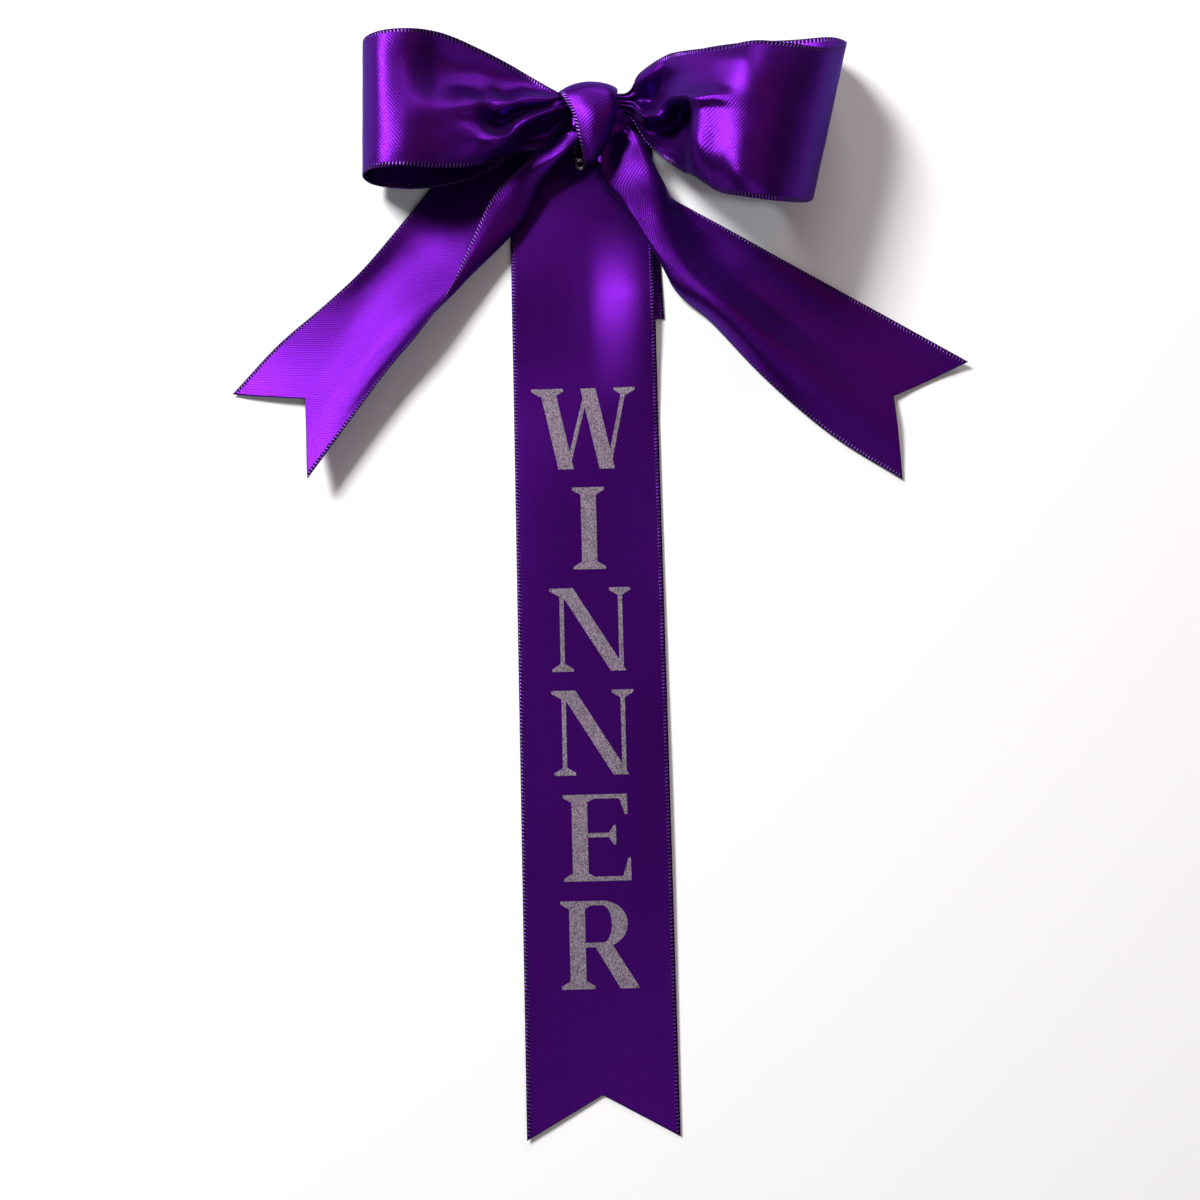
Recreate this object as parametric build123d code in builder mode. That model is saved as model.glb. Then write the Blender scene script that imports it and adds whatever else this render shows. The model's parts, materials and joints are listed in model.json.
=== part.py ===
from build123d import *
import math
import os

# Award ribbon: a tied satin bow pinned on a long streamer with six vinyl letters.
# Millimetres. The ribbon lies on its back: +Z is its front, +X its right, -Y runs down the streamer.
# The origin is on the surface it lies on, under the knot.

# --- driving dimensions ---
ribbon_width = 38.1  # 1 1/2 in satin
ribbon_thickness = 0.35
layer_gap = 0.1  # between two layers of the same piece
travel_gap = 0.3  # between pieces that move past each other

pin_x = -5.4  # coil of the safety pin, about which the bow turns
pin_y = -8.0
streamer_lean = 1.45  # degrees, the streamer's foot leans to the right
streamer_length = 252.5  # pin to the two points of the foot
streamer_notch = 10.4
streamer_top = 20.0  # top fold, above the pin
fold_length = 43.0  # back layer, below the pin
fold_skew = 2.2  # degrees, the back layer sits slightly askew
fold_overlap = 3.0  # the bend reaches this far under the back layer
step_from = 46.0  # past the back layer the front layer comes down to the table
step_to = 52.0
seam_at = 54.0  # where the streamer's free stretch starts to lift, below the pin

letter_text = "WINNER"
letter_height = 21.7
letter_pitch = 26.6
letter_start = 61.6  # pin to the top of the first letter
vinyl_thickness = 0.1
stroke = 4.0  # thick strokes
hairline = 1.1  # thin strokes

knot_width = 18.0
knot_half_height = 10.4
knot_bottom = 3.6
knot_top = 14.8
knot_centre_x = -1.7
knot_centre_y = -0.4
root_half_width = 6.5  # of a loop where it leaves the knot
root_spread = 22.0  # from there to its full width

left_reach = 63.0  # knot centre to the outer fold
left_height = 24.0
left_turn = 177.5  # degrees, the way the loop points
right_reach = 60.0
right_height = 40.0
right_turn = -11.0
right_shift = 3.5  # the right loop leaves the knot a little higher up

tail_rest = 58.0  # radius inside which the tails ride over the streamer
tail_slope = 16.0  # over this length they come down to the table

wire_radius = 0.35
coil_radius = 1.15  # to the middle of the wire
pin_length = 17.5  # coil centre to the end of the cap

os.makedirs("parts", exist_ok=True)

# --- levels above the table ---
front_level = ribbon_thickness + layer_gap  # underside of the streamer's front layer
tail_level = front_level + ribbon_thickness + travel_gap  # underside of the tails at the knot
loop_level = tail_level + ribbon_thickness + travel_gap + 2 * layer_gap  # underside of the loops
table_gap = 0.1
back_wire_level = 1.45  # middle of the pin's fixed wire
arm_level = back_wire_level + 2 * wire_radius + 0.1

streamer_plane = Plane(
    origin=(pin_x, pin_y, 0),
    x_dir=(math.cos(math.radians(streamer_lean)), math.sin(math.radians(streamer_lean)), 0),
    z_dir=(0, 0, 1),
)


def save(piece, name):
    piece.part.label = name
    export_step(piece.part, f"parts/{name}.step")


def side_plane(base):
    """Upright plane along the ribbon: sketch x runs down the streamer, sketch y is up."""
    return Plane(origin=base.origin, x_dir=-base.y_dir, z_dir=-base.x_dir)


# --- streamer ---
with BuildPart() as streamer_front:
    with BuildSketch(side_plane(streamer_plane)):
        with BuildLine():
            underside = Polyline(
                (-streamer_top, front_level),
                (step_from, front_level),
                (step_to, 0),
                (seam_at - travel_gap, 0),
            )
            topside = Polyline(
                (seam_at - travel_gap, ribbon_thickness),
                (step_to, ribbon_thickness),
                (step_from, front_level + ribbon_thickness),
                (-streamer_top, front_level + ribbon_thickness),
            )
            Line(underside @ 1, topside @ 0)
            Line(topside @ 1, underside @ 0)
        make_face()
    extrude(amount=ribbon_width / 2, both=True)
save(streamer_front, "streamer_front")

fold_plane = streamer_plane.rotated((0, 0, fold_skew))

with BuildPart() as streamer_fold:
    with BuildSketch(fold_plane):
        with Locations((0, (streamer_top - 1 - fold_length) / 2)):
            Rectangle(ribbon_width, streamer_top - 1 + fold_length)
    extrude(amount=ribbon_thickness)
    with BuildSketch(side_plane(streamer_plane)):
        with BuildLine():
            bend = CenterArc((-streamer_top, front_level), front_level, 90, 180)
            Line(bend @ 1, (-streamer_top + fold_overlap, 0))
            Line((-streamer_top + fold_overlap, 0), (-streamer_top + fold_overlap, ribbon_thickness))
            Line((-streamer_top + fold_overlap, ribbon_thickness), (-streamer_top, ribbon_thickness))
            Line((-streamer_top, ribbon_thickness), bend @ 0)
        make_face()
    extrude(amount=ribbon_width / 2, both=True)
save(streamer_fold, "streamer_fold")

with BuildPart() as streamer_lower:
    with BuildSketch(streamer_plane):
        with BuildLine():
            Polyline(
                (-ribbon_width / 2, -seam_at - travel_gap),
                (ribbon_width / 2, -seam_at - travel_gap),
                (ribbon_width / 2, -streamer_length),
                (0, -streamer_length + streamer_notch),
                (-ribbon_width / 2, -streamer_length),
                close=True,
            )
        make_face()
    extrude(amount=ribbon_thickness)
save(streamer_lower, "streamer_lower")


# --- letters: upright strokes, hairlines, and serifs ---
def stem(x, width=stroke):
    with Locations((x, 0)):
        Rectangle(width, letter_height)


def serif(x, end, width=stroke):
    """A thin bracketed slab at the top (end = 1) or the foot (end = -1) of a stem."""
    edge = end * letter_height / 2
    inner = edge - end * 0.7
    neck = edge - end * 2.0
    reach = width / 2 + 2.2
    Polygon(
        (x - reach, edge),
        (x - reach, inner),
        (x - width / 2, neck),
        (x + width / 2, neck),
        (x + reach, inner),
        (x + reach, edge),
        align=None,
    )


def slant(x_top, x_foot, width):
    half = letter_height / 2
    Polygon(
        (x_top - width / 2, half),
        (x_top + width / 2, half),
        (x_foot + width / 2, -half),
        (x_foot - width / 2, -half),
        align=None,
    )


def crossbar(x_from, x_to, y):
    with Locations(((x_from + x_to) / 2, y)):
        Rectangle(x_to - x_from, hairline)


def beak(x, y, drop):
    """The wedge that ends an arm, pointing down (drop > 0) or up."""
    Polygon((x, y), (x, y - drop), (x - 0.6, y - drop), (x - 2.2, y), align=None)


def letter_w():
    slant(-10.2, -5.6, stroke)
    slant(0.4, -5.2, hairline)
    slant(0.6, 5.2, stroke)
    slant(10.2, 5.6, hairline)
    serif(-10.2, 1)
    serif(10.2, 1, hairline)


def letter_i():
    stem(0)
    serif(0, 1)
    serif(0, -1)


def letter_n():
    stem(-7.6, hairline)
    stem(7.6, hairline)
    slant(-6.6, 6.8, stroke)
    serif(-7.6, -1, hairline)
    serif(7.6, 1, hairline)
    serif(-8.0, 1, hairline)


def letter_e():
    edge = letter_height / 2 - hairline / 2
    stem(-4.2)
    serif(-4.2, 1)
    serif(-4.2, -1)
    crossbar(-4.2, 8.0, edge)
    crossbar(-4.2, 5.0, 0.6)
    crossbar(-4.2, 8.6, -edge)
    beak(8.0, edge, 4.6)
    beak(8.6, -edge, -5.2)
    beak(5.0, 0.6, 2.4)
    beak(5.0, 0.6, -2.4)


def bowl(foot):
    """The round of the R: thick on its right, hairline at its top and foot."""
    middle = (letter_height / 2 + foot) / 2
    rise = letter_height / 2 - middle
    with BuildSketch() as ring:
        with Locations((-2.2, middle)):
            Rectangle(6.4, 2 * rise)
        with Locations((1.0, middle)):
            Ellipse(rise + 0.6, rise)
            Ellipse(rise + 0.6 - stroke, rise - hairline, mode=Mode.SUBTRACT)
        with Locations((-1.5, middle)):
            Rectangle(5.0, 2 * (rise - hairline), mode=Mode.SUBTRACT)
    return ring.sketch


def letter_r():
    half = letter_height / 2
    add(bowl(-0.6))
    stem(-5.4)
    serif(-5.4, 1)
    serif(-5.4, -1)
    Polygon((-1.4, 0.2), (3.2, 0.2), (9.6, 0.7 - half), (9.8, -half), (5.2, -half), align=None)


glyphs = {"W": letter_w, "I": letter_i, "N": letter_n, "E": letter_e, "R": letter_r}

for index, character in enumerate(letter_text):
    down = letter_start + letter_height / 2 + index * letter_pitch
    letter_plane = Plane(
        origin=streamer_plane.from_local_coords((0, -down, ribbon_thickness)),
        x_dir=streamer_plane.x_dir,
        z_dir=(0, 0, 1),
    )
    with BuildPart() as letter:
        with BuildSketch(letter_plane):
            glyphs[character]()
        extrude(amount=vinyl_thickness)
    save(letter, f"letter_{index + 1}_{character.lower()}")


# --- bow knot ---
knot_middle = (knot_bottom + knot_top) / 2
knot_plane = Plane(origin=(knot_centre_x, knot_centre_y, knot_middle), x_dir=(0, 1, 0), z_dir=(1, 0, 0))
knot_half_depth = (knot_top - knot_bottom) / 2
wrap_thickness = 2 * ribbon_thickness
core_inset = wrap_thickness + layer_gap
core_width = knot_width - 5.0

with BuildPart() as knot_wrap:
    with BuildSketch(knot_plane):
        Ellipse(knot_half_height, knot_half_depth)
        Ellipse(knot_half_height - wrap_thickness, knot_half_depth - wrap_thickness, mode=Mode.SUBTRACT)
    extrude(amount=knot_width / 2, both=True)
    with BuildSketch(Plane.XY):
        with BuildLine():
            Polyline(
                (-10.7, 6.6),
                (-8.6, 8.6),
                (-2.6, 11.0),
                (7.4, 8.0),
                (6.4, 1.0),
                (2.8, -6.0),
                (0.0, -11.5),
                (-4.6, -11.5),
                (-7.6, -4.0),
                close=True,
            )
        make_face()
    extrude(amount=knot_top + 1, mode=Mode.INTERSECT)
save(knot_wrap, "knot_wrap")

with BuildPart() as knot_core:
    with BuildSketch(knot_plane):
        Ellipse(knot_half_height - core_inset, knot_half_depth - core_inset)
    extrude(amount=core_width / 2, both=True)
    with BuildSketch(Plane.XY):
        with BuildLine():
            Polyline(
                (-8.5, 12),
                (5.4, 12),
                (5.0, 0),
                (1.5, -7),
                (0, -12),
                (-4.2, -12),
                (-6.4, -4),
                close=True,
            )
        make_face()
    extrude(amount=knot_top + 1, mode=Mode.INTERSECT)
save(knot_core, "knot_core")


# --- bow loops: a teardrop band, narrowed to its root at the knot ---
def teardrop(root, reach, height, inset):
    """Side outline of a loop; an inset of the ribbon's thickness gives its inner face."""
    radius = height * 0.42
    root_level = knot_middle - 1.2
    bottom = loop_level + inset
    top = height - inset
    tip = root + 3 * inset
    with BuildSketch() as outline:
        with BuildLine():
            landing = Spline(
                (tip, root_level - 1.0 + inset),
                (root + 16, bottom),
                tangents=((1, -0.6), (1, 0)),
            )
            lower = Line(landing @ 1, (reach - radius, bottom))
            outer = Spline(
                lower @ 1,
                (reach - inset, height * 0.46),
                (reach - radius * 1.2, top),
                tangents=((1, 0), (-1, 0)),
            )
            upper = Spline(
                outer @ 1,
                (root + 16, (root_level + height) / 2 - inset),
                (tip, root_level + 1.0 - inset),
                tangents=((-1, 0), (-1, -0.8)),
            )
            Line(upper @ 1, landing @ 0)
        make_face()
    return outline.sketch


def loop_band(base, root, reach, height):
    """base: plane whose x runs outwards. root: where the band leaves the knot."""
    with BuildPart() as band:
        with BuildSketch(Plane(origin=base.origin, x_dir=base.x_dir, z_dir=-base.y_dir)):
            add(teardrop(root, reach, height, 0))
            add(teardrop(root, reach, height, ribbon_thickness), mode=Mode.SUBTRACT)
        extrude(amount=ribbon_width / 2, both=True)
        with BuildSketch(base):
            with BuildLine():
                Polyline(
                    (root - 1, -root_half_width),
                    (root + root_spread, -ribbon_width / 2),
                    (reach + 1, -ribbon_width / 2),
                    (reach + 1, ribbon_width / 2),
                    (root + root_spread, ribbon_width / 2),
                    (root - 1, root_half_width),
                    close=True,
                )
            make_face()
        extrude(amount=height + 1, mode=Mode.INTERSECT)
    return band


left_loop = loop_band(Plane.XY.rotated((0, 0, left_turn)), 11.6, left_reach, left_height)
save(left_loop, "left_loop")

right_base = Plane(Location((0, right_shift, 0), (0, 0, right_turn)))
right_loop = loop_band(right_base, 9.0, right_reach, right_height)
save(right_loop, "right_loop")


# --- bow tails: a sheet that comes down from the streamer to the table, cut to its outline ---
def tail_sheet(heading, outline):
    beyond = 140
    along = math.radians(heading)
    side = Plane(
        origin=(0, 0, 0),
        x_dir=(math.cos(along), math.sin(along), 0),
        z_dir=(math.sin(along), -math.cos(along), 0),
    )
    with BuildPart() as sheet:
        with BuildSketch(side):
            with BuildLine():
                Polyline(
                    (0, tail_level),
                    (tail_rest, tail_level),
                    (tail_rest + tail_slope, table_gap),
                    (beyond, table_gap),
                    (beyond, table_gap + ribbon_thickness),
                    (tail_rest + tail_slope, table_gap + ribbon_thickness),
                    (tail_rest, tail_level + ribbon_thickness),
                    (0, tail_level + ribbon_thickness),
                    close=True,
                )
            make_face()
        extrude(amount=45, both=True)
        with BuildSketch(Plane.XY):
            with BuildLine():
                Polyline(*outline, close=True)
            make_face()
        extrude(amount=10, mode=Mode.INTERSECT)
    return sheet


left_tail = tail_sheet(
    224,
    [
        (-9.5, -4.5),
        (-43.9, -14.9),
        (-97.0, -71.2),
        (-75.8, -75.0),
        (-76.6, -93.8),
        (-47.3, -54.2),
        (-23.3, -27.8),
        (-9.5, -12.5),
    ],
)
save(left_tail, "left_tail")

right_tail = tail_sheet(
    -40,
    [
        (4.5, -7.0),
        (21.6, -21.0),
        (97.0, -62.5),
        (77.7, -71.5),
        (79.5, -93.8),
        (17.0, -39.4),
        (10.5, -20.8),
        (1.5, -12.5),
    ],
)
save(right_tail, "right_tail")


# --- safety pin ---
cap_length = 4.5
cap_width = 5.0
cap_wall = 0.3
neck_extra = 0.05  # the arm is a little thicker next to its coil
point_radius = 0.06
cap_low = back_wire_level - wire_radius - cap_wall / 2
cap_high = arm_level + wire_radius + 0.3


def pin_wire(level, side, length, neck, point):
    """One turn of the coil and the straight wire that leaves it, on one side of the pin.

    neck: length of the thicker stretch next to the coil. point: length of the sharp end.
    """
    start = (pin_x + side * coil_radius, pin_y, level)
    across = Plane(origin=start, x_dir=(1, 0, 0), z_dir=(0, 1, 0))
    with BuildPart() as wire:
        with BuildSketch(across):
            Circle(wire_radius)
        revolve(axis=Axis((pin_x, pin_y, 0), (0, 0, 1)))
        if neck:
            with BuildSketch(across):
                Circle(wire_radius + neck_extra)
            with BuildSketch(across.offset(neck)):
                Circle(wire_radius)
            loft()
        with BuildSketch(across.offset(neck)):
            Circle(wire_radius)
        extrude(amount=length - neck)
        if point:
            with BuildSketch(across.offset(length)):
                Circle(wire_radius)
            with BuildSketch(across.offset(length + point)):
                Circle(point_radius)
            loft()
    return wire


pin_back = pin_wire(back_wire_level, -1, pin_length - cap_length, 0, 0)
save(pin_back, "pin_back")

pin_arm = pin_wire(arm_level, 1, pin_length - cap_length - 0.4, 2.6, 3.5)
save(pin_arm, "pin_arm")

with BuildPart() as pin_cap:
    with BuildSketch(Plane.XY.offset(cap_low)):
        with Locations((pin_x, pin_y + pin_length - cap_length / 2)):
            RectangleRounded(cap_width, cap_length, 1.2)
    extrude(amount=cap_high - cap_low)
    fillet(pin_cap.edges().group_by(Axis.Z)[-1] + pin_cap.edges().group_by(Axis.Z)[0], radius=0.4)
    with BuildSketch(Plane.XY.offset(arm_level - wire_radius - 0.15)):
        with Locations((pin_x + cap_width / 2, pin_y + pin_length - cap_length / 2 - cap_wall)):
            Rectangle(cap_width + 1.0, cap_length)
    extrude(amount=2 * wire_radius + 0.3, mode=Mode.SUBTRACT)
save(pin_cap, "pin_cap")
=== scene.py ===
import json
import math

import bmesh
import bpy
import numpy as np
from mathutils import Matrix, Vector


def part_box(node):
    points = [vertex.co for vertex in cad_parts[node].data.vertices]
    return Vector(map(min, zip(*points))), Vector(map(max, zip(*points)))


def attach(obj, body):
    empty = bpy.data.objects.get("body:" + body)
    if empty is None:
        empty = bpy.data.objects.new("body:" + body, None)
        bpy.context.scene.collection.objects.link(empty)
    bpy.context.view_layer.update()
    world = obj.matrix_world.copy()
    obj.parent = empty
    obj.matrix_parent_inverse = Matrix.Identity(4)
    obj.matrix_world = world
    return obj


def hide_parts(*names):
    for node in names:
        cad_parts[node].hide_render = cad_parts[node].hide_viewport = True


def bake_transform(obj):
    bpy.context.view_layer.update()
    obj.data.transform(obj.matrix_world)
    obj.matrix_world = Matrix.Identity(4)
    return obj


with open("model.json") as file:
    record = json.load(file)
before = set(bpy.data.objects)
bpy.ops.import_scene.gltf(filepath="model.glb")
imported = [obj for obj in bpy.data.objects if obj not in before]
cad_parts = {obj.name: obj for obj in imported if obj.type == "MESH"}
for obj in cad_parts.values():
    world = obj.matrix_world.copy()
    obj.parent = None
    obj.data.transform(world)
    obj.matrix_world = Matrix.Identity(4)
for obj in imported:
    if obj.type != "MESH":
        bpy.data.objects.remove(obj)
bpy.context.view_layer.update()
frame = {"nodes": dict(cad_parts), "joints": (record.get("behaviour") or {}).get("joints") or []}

# An award ribbon in deep violet double-face satin, lying on a table. The floor, the lights and
# the camera are in metres.
MM = 0.001

RIBBON = 38.1  # width of the satin
THICK = 0.3
COLUMNS = 97  # points across a loop or tail
LEFT_NOTCH = 13.5  # depth of each swallow-tailed cut
RIGHT_NOTCH = 12.8
FOOT_NOTCH = 10.4
WRAP_WIDTH = 16.0  # of the ribbon's width, what shows on the knot
UV_SCALE = 0.01  # UV units per millimetre of cloth


# --- places, read from the frame ---
def corners(node):
    low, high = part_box(node)
    return np.array(low) / MM, np.array(high) / MM


KNOT_LOW, KNOT_HIGH = corners("knot_wrap")
JOINTS = {joint["name"]: joint for joint in frame["joints"]}
PIN = np.array(JOINTS["bow_turn"]["pos_m"]) / MM
PIN_ON_TABLE = np.array([PIN[0], PIN[1], 0.0])


def across_axis(name):
    """Flat unit vector that points outwards from a joint whose axis lies flat."""
    axis = np.array(JOINTS[name]["axis"])
    return np.array([-axis[1], axis[0], 0.0])


# --- cross-sections, in mm from the pin, and the smooth surface through them ---
# Made with a scratch program: points placed over the photograph, each with a guessed height, turned
# into millimetres with the camera below. Each row runs across the ribbon, and the rows follow it.
RIGHT_TAIL = [
    [
        (5.4, 6.2, 5), (6.1, 5.7, 8), (6.8, 7.7, 5.5), (7.5, 6.7, 8.5), (8.2, 8.5, 6),
        (8.9, 7.6, 9), (9.7, 9.4, 6.5), (10.3, 8.7, 9), (11.1, 10.1, 7),
    ],
    [
        (13.9, 2.5, 3), (8.1, 4.2, 2.5), (4.7, 2.7, 4.6), (5.4, 3.3, 6.3), (9, 4.3, 6),
        (11.6, 4.3, 8), (14, 4.1, 9.4), (16.4, 3.8, 9), (17.2, 4.8, 4),
    ],
    [
        (15.2, -4.9, 2.9), (9.9, -5.3, 2.7), (5.8, -4.6, 3.2), (5, -3.5, 5.9), (8.1, -2.6, 6),
        (11.6, -2.3, 7.3), (15.1, -2, 8.6), (18.6, -2.3, 8.8), (20.3, -1.7, 3.6),
    ],
    [
        (17.9, -11.4, 2.8), (12.5, -10.9, 2.7), (8.3, -8.1, 3.2), (7.4, -7.2, 4.9),
        (10.3, -7.3, 6), (13.8, -7.4, 7.3), (17.7, -7.5, 8.6), (21.5, -7.7, 8), (23.2, -7.5, 3.6),
    ],
    [
        (20.1, -16.1, 2.8), (16.5, -16.5, 2.8), (14.3, -16.2, 5.2), (14.9, -15.2, 5.6),
        (16.9, -14.4, 6.4), (19, -13.7, 7.3), (21.2, -13, 7.6), (23.2, -12, 6.2),
        (24.8, -10.6, 3.6),
    ],
    [
        (21.8, -24.8, 2.7), (20, -24.6, 2.9), (18.4, -23.4, 5), (19.1, -22.3, 5.6),
        (20.8, -21, 6.3), (22.8, -19.5, 6.7), (25.1, -17.3, 5.4), (27.7, -14.5, 2.8),
        (29.9, -13.1, 2.8),
    ],
    [
        (24.3, -33.4, 2.3), (23.7, -32.5, 4.4), (24.2, -31.3, 5.4), (25.4, -30.1, 6.2),
        (27.4, -28.1, 6.2), (29.6, -25, 4.3), (31.9, -21.8, 2.2), (34.3, -19.1, 1.8),
        (36.6, -16.8, 2.6),
    ],
    [
        (34.7, -43.2, 1), (35.2, -43.3, 4), (36.3, -42.5, 6.8), (38, -40.5, 7.4),
        (40.4, -36.8, 4.6), (42.8, -33.1, 1.9), (45.3, -29.9, 1.5), (47.7, -27.1, 2.4),
        (49.8, -24.5, 2.6),
    ],
    [
        (48.7, -58.4, 0.7), (49.6, -57.3, 2.8), (51.1, -55.3, 4.7), (53, -52.5, 5.2),
        (55.7, -48.3, 3.2), (58.2, -44.4, 1.3), (60.9, -40.4, 0.9), (63.4, -36.9, 1.7),
        (65.7, -33.4, 2),
    ],
    [
        (66.1, -73.9, 0.5), (67.6, -71.1, 1.5), (69.3, -68, 2.6), (71.3, -64.4, 2.9),
        (73.8, -60.1, 1.9), (76.1, -56.1, 0.9), (78.6, -51.7, 0.6), (81, -47.5, 1),
        (83.4, -43.3, 1.4),
    ],
    [
        (84.9, -86.1, 0.5), (87, -82.4, 1), (89.2, -78.4, 1.5), (91.3, -74.7, 1.7),
        (93.8, -70.5, 1.3), (96.1, -66.5, 0.8), (98.6, -62.3, 0.6), (100.8, -58.3, 1),
        (102.8, -54.7, 1.8),
    ],
]

LEFT_TAIL = [
    [
        (-1.7, 11.3, 6), (-0.4, 9.6, 8), (0.1, 9.7, 6), (0.8, 7.9, 8), (1.4, 7.8, 6.5),
        (2, 6.4, 7.5), (2, 5.2, 8.5), (1.2, 5.4, 9.5), (0.1, 6.2, 9.5),
    ],
    [
        (-10.8, 13.6, 3.5), (-8.4, 11, 4.8), (-7.1, 9.7, 3.6), (-5.7, 7.1, 5.2), (-4.4, 5, 4.6),
        (-3, 1.6, 6.4), (-3.1, 1, 9), (-4.5, 2.6, 8.6), (-6.6, 5.4, 6.6),
    ],
    [
        (-23.9, 11.6, 1.7), (-20.7, 8.3, 1.7), (-17.5, 5, 1.7), (-14.8, 1.5, 2.2),
        (-12, -2.1, 2.8), (-9.6, -5.4, 4.2), (-10, -5.5, 6), (-11.8, -4.3, 7.2),
        (-14.5, -2.2, 7.4),
    ],
    [
        (-33.2, 2.2, 1.6), (-28.7, -1.6, 1.4), (-24, -5.8, 1.5), (-19.3, -10.2, 1.6),
        (-15.6, -13.8, 2), (-14.2, -15.5, 3.4), (-15.6, -14.7, 4.8), (-18.7, -12.5, 5.6),
        (-22.2, -9.5, 5.8),
    ],
    [
        (-42.3, -9.6, 1.6), (-38.4, -12.9, 1.5), (-34.4, -16.5, 1.7), (-30.4, -20.6, 2.2),
        (-26.9, -24.7, 3), (-24.6, -28, 4.4), (-25.3, -27.7, 6), (-27.1, -26.5, 6.8),
        (-29.2, -25.1, 6.8),
    ],
    [
        (-48.7, -18.1, 2), (-45, -21.1, 1.5), (-41.4, -24.3, 1.5), (-38, -27.8, 2.1),
        (-34.9, -31.6, 3.1), (-32.5, -35, 4.6), (-31.7, -36.3, 6.2), (-32.4, -36, 7.2),
        (-33.3, -35.5, 7.5),
    ],
    [
        (-58.5, -30.3, 2.2), (-55.5, -32.8, 1.5), (-52.3, -35.6, 1.5), (-49.1, -38.6, 2.1),
        (-46.2, -41.8, 3.2), (-43.9, -44.7, 4.8), (-42.4, -46.6, 6.3), (-41.7, -47.6, 7.4),
        (-41.4, -48.2, 8),
    ],
    [
        (-68.1, -39.5, 1.8), (-64.6, -42.5, 1.5), (-61.2, -45.5, 1.4), (-57.8, -48.8, 1.8),
        (-55.1, -51.8, 2.8), (-52.9, -54.7, 4.4), (-51.2, -56.9, 5.9), (-50.4, -58, 7),
        (-49.9, -58.7, 7.6),
    ],
    [
        (-79.1, -49.2, 1.4), (-75.3, -52.8, 1.4), (-71.6, -56.5, 1.6), (-68.1, -60.1, 2),
        (-65.1, -63.4, 2.9), (-62.4, -66.1, 4.3), (-60.4, -68.4, 5.7), (-59.2, -69.8, 6.7),
        (-58.4, -70.6, 7.3),
    ],
    [
        (-91.8, -63.2, 0.6), (-88.1, -67.3, 1.4), (-84.6, -71.1, 2.2), (-81.3, -74.7, 3),
        (-78.2, -78.1, 3.9), (-75.3, -81.3, 5), (-72.8, -84, 6), (-71.1, -85.9, 6.8),
        (-69.9, -87.2, 7.3),
    ],
]

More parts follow.
